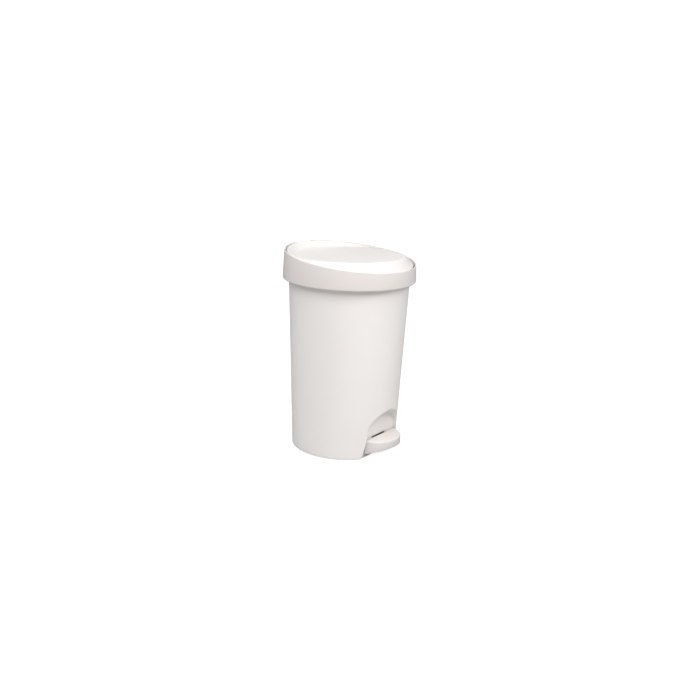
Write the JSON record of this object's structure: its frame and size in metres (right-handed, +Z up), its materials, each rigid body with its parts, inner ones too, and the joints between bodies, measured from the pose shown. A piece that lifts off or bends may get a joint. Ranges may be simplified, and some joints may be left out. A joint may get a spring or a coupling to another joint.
{
  "type": "pedal trash can",
  "caption": "Round white plastic pedal bin with a tapered body, sloping collar, dished hinged lid, foot tread and lift-out bucket.",
  "frame": {"origin": "on the floor, on the vertical axis of the round body", "axes": "+Z up, -Y towards the front where the tread is, +X to the right of someone facing +Y"},
  "size_m": [0.2736, 0.2736, 0.4177],
  "materials": {
    "white_body": "satin white polypropylene",
    "white_collar": "satin white polypropylene",
    "white_lid": "semi-gloss white polypropylene",
    "white_tread": "satin white with a grained top",
    "grey_moulding": "satin grey polypropylene",
    "grey_bucket": "satin light grey polypropylene",
    "nylon": "natural nylon",
    "soft_stud": "soft translucent grey",
    "black_rubber": "matt",
    "plated_steel": "bright zinc plate",
    "spring_steel": "dark spring steel"
  },
  "bodies": {
    "bin": {"outer_body": "white_body", "collar": "white_collar", "collar_screws": "plated_steel", "base_plate": "grey_moulding", "base_screws": "plated_steel", "rubber_feet": "black_rubber", "lever_stop_pad": "black_rubber", "lever_pin": "plated_steel", "lever_pin_clips": "spring_steel", "rod_guide_lower": "nylon", "rod_guide_upper": "nylon", "hinge_pin": "plated_steel", "hinge_pin_caps": "white_lid", "lid_bumpers": "soft_stud"},
    "bucket": {"inner_bucket": "grey_bucket"},
    "pedal": {"lever_arm": "grey_moulding", "pedal_tread": "white_tread", "tread_screws": "plated_steel"},
    "rod": {"lift_rod": "plated_steel", "rod_clips": "spring_steel"},
    "lid": {"lid_shell": "white_lid", "crank_bracket": "grey_moulding", "crank_screws": "plated_steel"}
  },
  "joints": [
    {"name": "lid_hinge", "type": "hinge", "parent": "bin", "child": "lid", "pos_m": [0, 0.131, 0.4135], "axis": [-1, 0, 0], "range_deg": [0, 70]},
    {"name": "pedal_pivot", "type": "hinge", "parent": "bin", "child": "pedal", "pos_m": [0, -0.05, 0.024], "axis": [1, 0, 0], "range_deg": [0, 7.88]},
    {"name": "rod_slide", "type": "slide", "parent": "bin", "child": "rod", "axis": [0, 0.0272, 0.9996], "range_m": [0, 0.02101]},
    {"name": "bucket_lift", "type": "slide", "parent": "bin", "child": "bucket", "axis": [0, 0, 1], "range_m": [0, 0.03]}
  ],
  "couplings": [
    {"joint": "pedal_pivot", "follows": "lid_hinge", "ratio": 0.11243},
    {"joint": "rod_slide", "follows": "lid_hinge", "m_per_rad": 0.017189}
  ]
}
